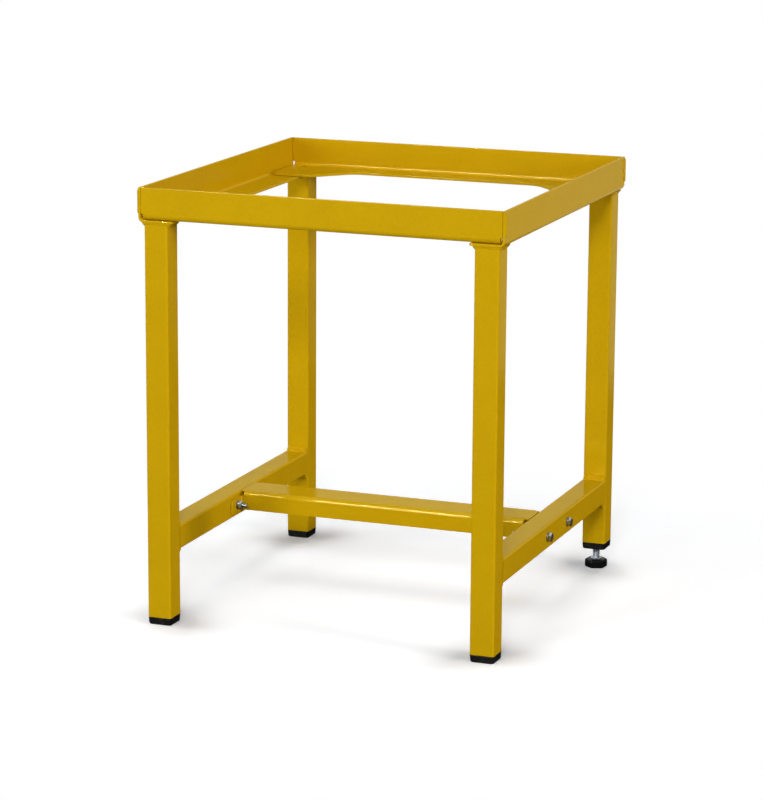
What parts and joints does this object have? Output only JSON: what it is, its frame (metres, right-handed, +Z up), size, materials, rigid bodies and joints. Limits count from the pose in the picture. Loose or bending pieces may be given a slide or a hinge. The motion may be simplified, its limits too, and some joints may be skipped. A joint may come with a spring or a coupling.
{
  "type": "tool chest stand",
  "caption": "Painted square-tube floor stand with a shallow folded tray that holds a tool chest, bolted low bracing rails and a screw-down levelling foot.",
  "frame": {"origin": "on the floor, under the middle of the tray", "axes": "+Z up, -Y towards the front, +X to the right seen from the front"},
  "size_m": [0.4836, 0.496, 0.562],
  "materials": {
    "yellow_coat": "satin powder coat",
    "black_plastic": "moulded",
    "zinc_steel": "bright zinc plate"
  },
  "bodies": {
    "frame": {"side_angle_left": "yellow_coat", "side_angle_right": "yellow_coat", "front_angle": "yellow_coat", "rear_angle": "yellow_coat", "corner_bead_front_left": "yellow_coat", "corner_bead_front_right": "yellow_coat", "corner_bead_rear_left": "yellow_coat", "corner_bead_rear_right": "yellow_coat", "leg_front_left": "yellow_coat", "leg_front_right": "yellow_coat", "leg_rear_left": "yellow_coat", "leg_rear_right": "yellow_coat", "leg_bead_front_left": "yellow_coat", "leg_bead_front_right": "yellow_coat", "leg_bead_rear_left": "yellow_coat", "leg_bead_rear_right": "yellow_coat", "side_rail_left": "yellow_coat", "side_rail_right": "yellow_coat", "rail_bead_front_left_top": "yellow_coat", "rail_bead_front_left_bottom": "yellow_coat", "rail_bead_front_right_top": "yellow_coat", "rail_bead_front_right_bottom": "yellow_coat", "rail_bead_rear_left_top": "yellow_coat", "rail_bead_rear_left_bottom": "yellow_coat", "rail_bead_rear_right_top": "yellow_coat", "rail_bead_rear_right_bottom": "yellow_coat", "cross_rail": "yellow_coat", "bolt_left_front": "zinc_steel", "bolt_left_rear": "zinc_steel", "bolt_right_front": "zinc_steel", "bolt_right_rear": "zinc_steel", "head_washer_left_front": "zinc_steel", "head_washer_left_rear": "zinc_steel", "head_washer_right_front": "zinc_steel", "head_washer_right_rear": "zinc_steel", "nut_washer_left_front": "zinc_steel", "nut_washer_left_rear": "zinc_steel", "nut_washer_right_front": "zinc_steel", "nut_washer_right_rear": "zinc_steel", "nut_left_front": "zinc_steel", "nut_left_rear": "zinc_steel", "nut_right_front": "zinc_steel", "nut_right_rear": "zinc_steel", "end_cap_front_left": "black_plastic", "end_cap_front_right": "black_plastic", "end_cap_rear_left": "black_plastic", "levelling_insert": "black_plastic", "threaded_bush": "zinc_steel"},
    "pad": {"levelling_pad": "black_plastic"},
    "stud": {"levelling_stud": "zinc_steel"}
  },
  "joints": [
    {"name": "foot_height", "type": "slide", "parent": "frame", "child": "pad", "axis": [0, 0, 1], "range_m": [-0.012, 0.012]},
    {"name": "stud_turn", "type": "hinge", "parent": "pad", "child": "stud", "pos_m": [0.217, 0.231, 0.0113], "axis": [0, 0, 1], "range_deg": [-2880, 2880]}
  ],
  "couplings": [
    {"joint": "stud_turn", "follows": "foot_height", "rad_per_m": 4188.8}
  ]
}
